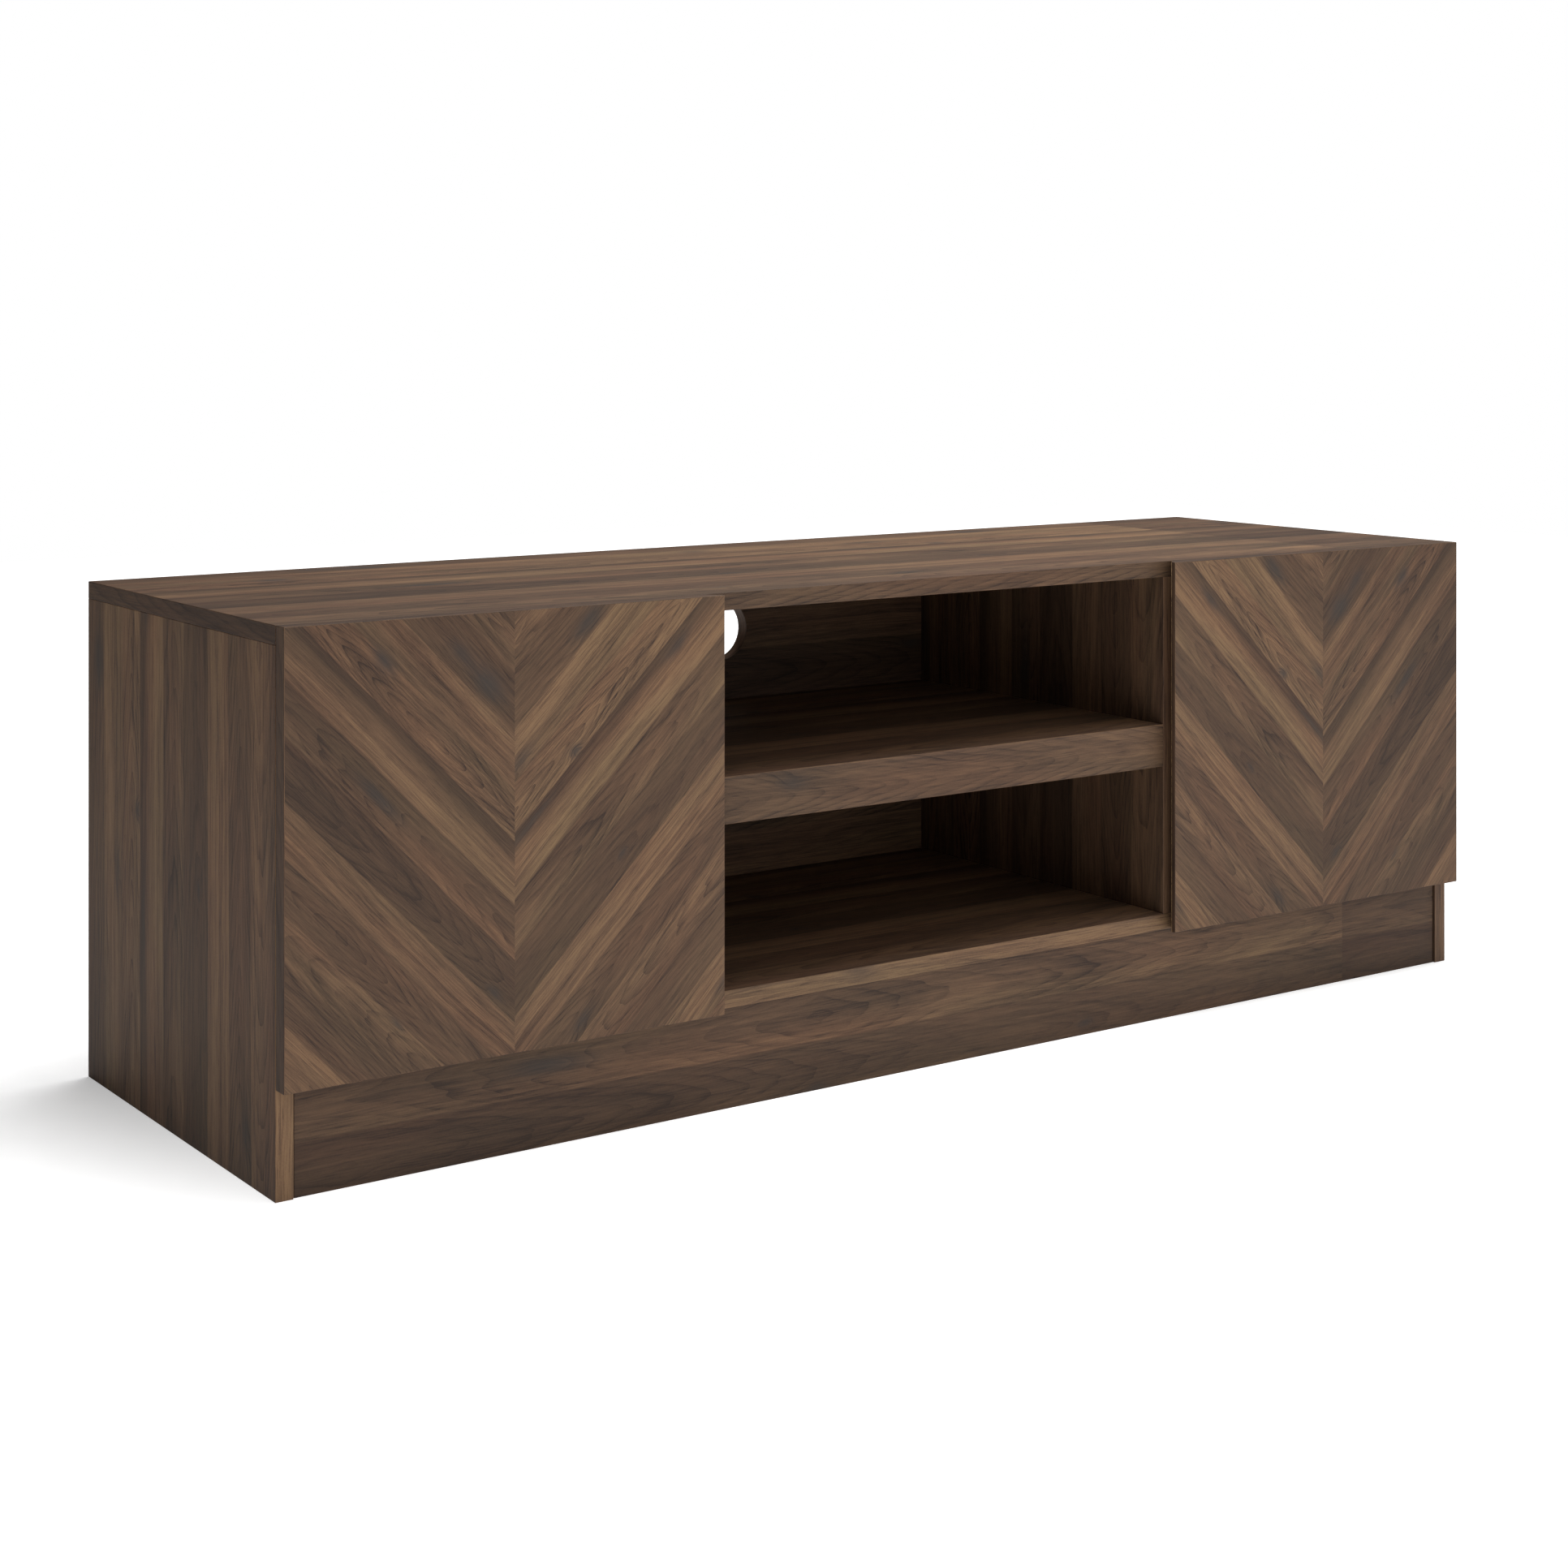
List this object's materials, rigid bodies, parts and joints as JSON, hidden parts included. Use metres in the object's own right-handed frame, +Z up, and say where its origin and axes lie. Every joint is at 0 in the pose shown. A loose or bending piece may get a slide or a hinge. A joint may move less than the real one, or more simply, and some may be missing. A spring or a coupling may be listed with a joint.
{
  "type": "tv stand with doors",
  "caption": "Low rectangular television stand with an open shelved bay between two chevron doors on concealed hinges, on a plinth, with a cable port.",
  "frame": {"origin": "on the floor under the middle of the whole stand, shut doors included", "axes": "+X to the right as you face the doors, +Y to the back, +Z up"},
  "size_m": [1.3, 0.416, 0.435],
  "materials": {
    "walnut_board": "matt printed walnut laminate",
    "chevron_board": "matt printed chevron walnut laminate",
    "cast_zinc": "dull cast zinc",
    "plated_steel": "bright zinc plate",
    "nickel_steel": "nickel plate",
    "beech": "raw beech",
    "clear_pad": "soft translucent pad"
  },
  "bodies": {
    "carcass": {"top_panel": "walnut_board", "left_side_panel": "walnut_board", "right_side_panel": "walnut_board", "bottom_panel": "walnut_board", "back_panel": "walnut_board", "left_divider": "walnut_board", "right_divider": "walnut_board", "centre_shelf": "walnut_board", "shelf_buildup_strip": "walnut_board", "shelf_edge_band": "walnut_board", "front_plinth": "walnut_board", "rear_plinth": "walnut_board", "cam_locks": "cast_zinc", "cam_bolts": "plated_steel", "wood_dowels": "beech", "panel_screws": "plated_steel", "strip_screws": "plated_steel", "left_hinge_arms": "nickel_steel", "left_arm_pins": "plated_steel", "left_mounting_plates": "nickel_steel", "left_plate_screws": "plated_steel", "left_adjusting_screws": "plated_steel", "right_hinge_arms": "nickel_steel", "right_arm_pins": "plated_steel", "right_mounting_plates": "nickel_steel", "right_plate_screws": "plated_steel", "right_adjusting_screws": "plated_steel"},
    "left_links": {"left_hinge_links": "nickel_steel"},
    "left_door": {"left_door_panel": "chevron_board", "left_hinge_cups": "nickel_steel", "left_cup_screws": "plated_steel", "left_cup_pins": "plated_steel", "left_door_bumpers": "clear_pad"},
    "right_links": {"right_hinge_links": "nickel_steel"},
    "right_door": {"right_door_panel": "chevron_board", "right_hinge_cups": "nickel_steel", "right_cup_screws": "plated_steel", "right_cup_pins": "plated_steel", "right_door_bumpers": "clear_pad"}
  },
  "joints": [
    {"name": "left_link_swing", "type": "hinge", "parent": "carcass", "child": "left_links", "pos_m": [-0.626, -0.1985, 0.26], "axis": [0, 0, 1], "range_deg": [0, 40]},
    {"name": "left_door_swing", "type": "hinge", "parent": "left_links", "child": "left_door", "pos_m": [-0.6416, -0.1975, 0.26], "axis": [0, 0, -1], "range_deg": [0, 145]},
    {"name": "right_link_swing", "type": "hinge", "parent": "carcass", "child": "right_links", "pos_m": [0.626, -0.1985, 0.26], "axis": [0, 0, -1], "range_deg": [0, 40]},
    {"name": "right_door_swing", "type": "hinge", "parent": "right_links", "child": "right_door", "pos_m": [0.6416, -0.1975, 0.26], "axis": [0, 0, 1], "range_deg": [0, 145]}
  ],
  "couplings": [
    {"joint": "left_link_swing", "follows": "left_door_swing", "ratio": 0.27586},
    {"joint": "right_link_swing", "follows": "right_door_swing", "ratio": 0.27586}
  ]
}
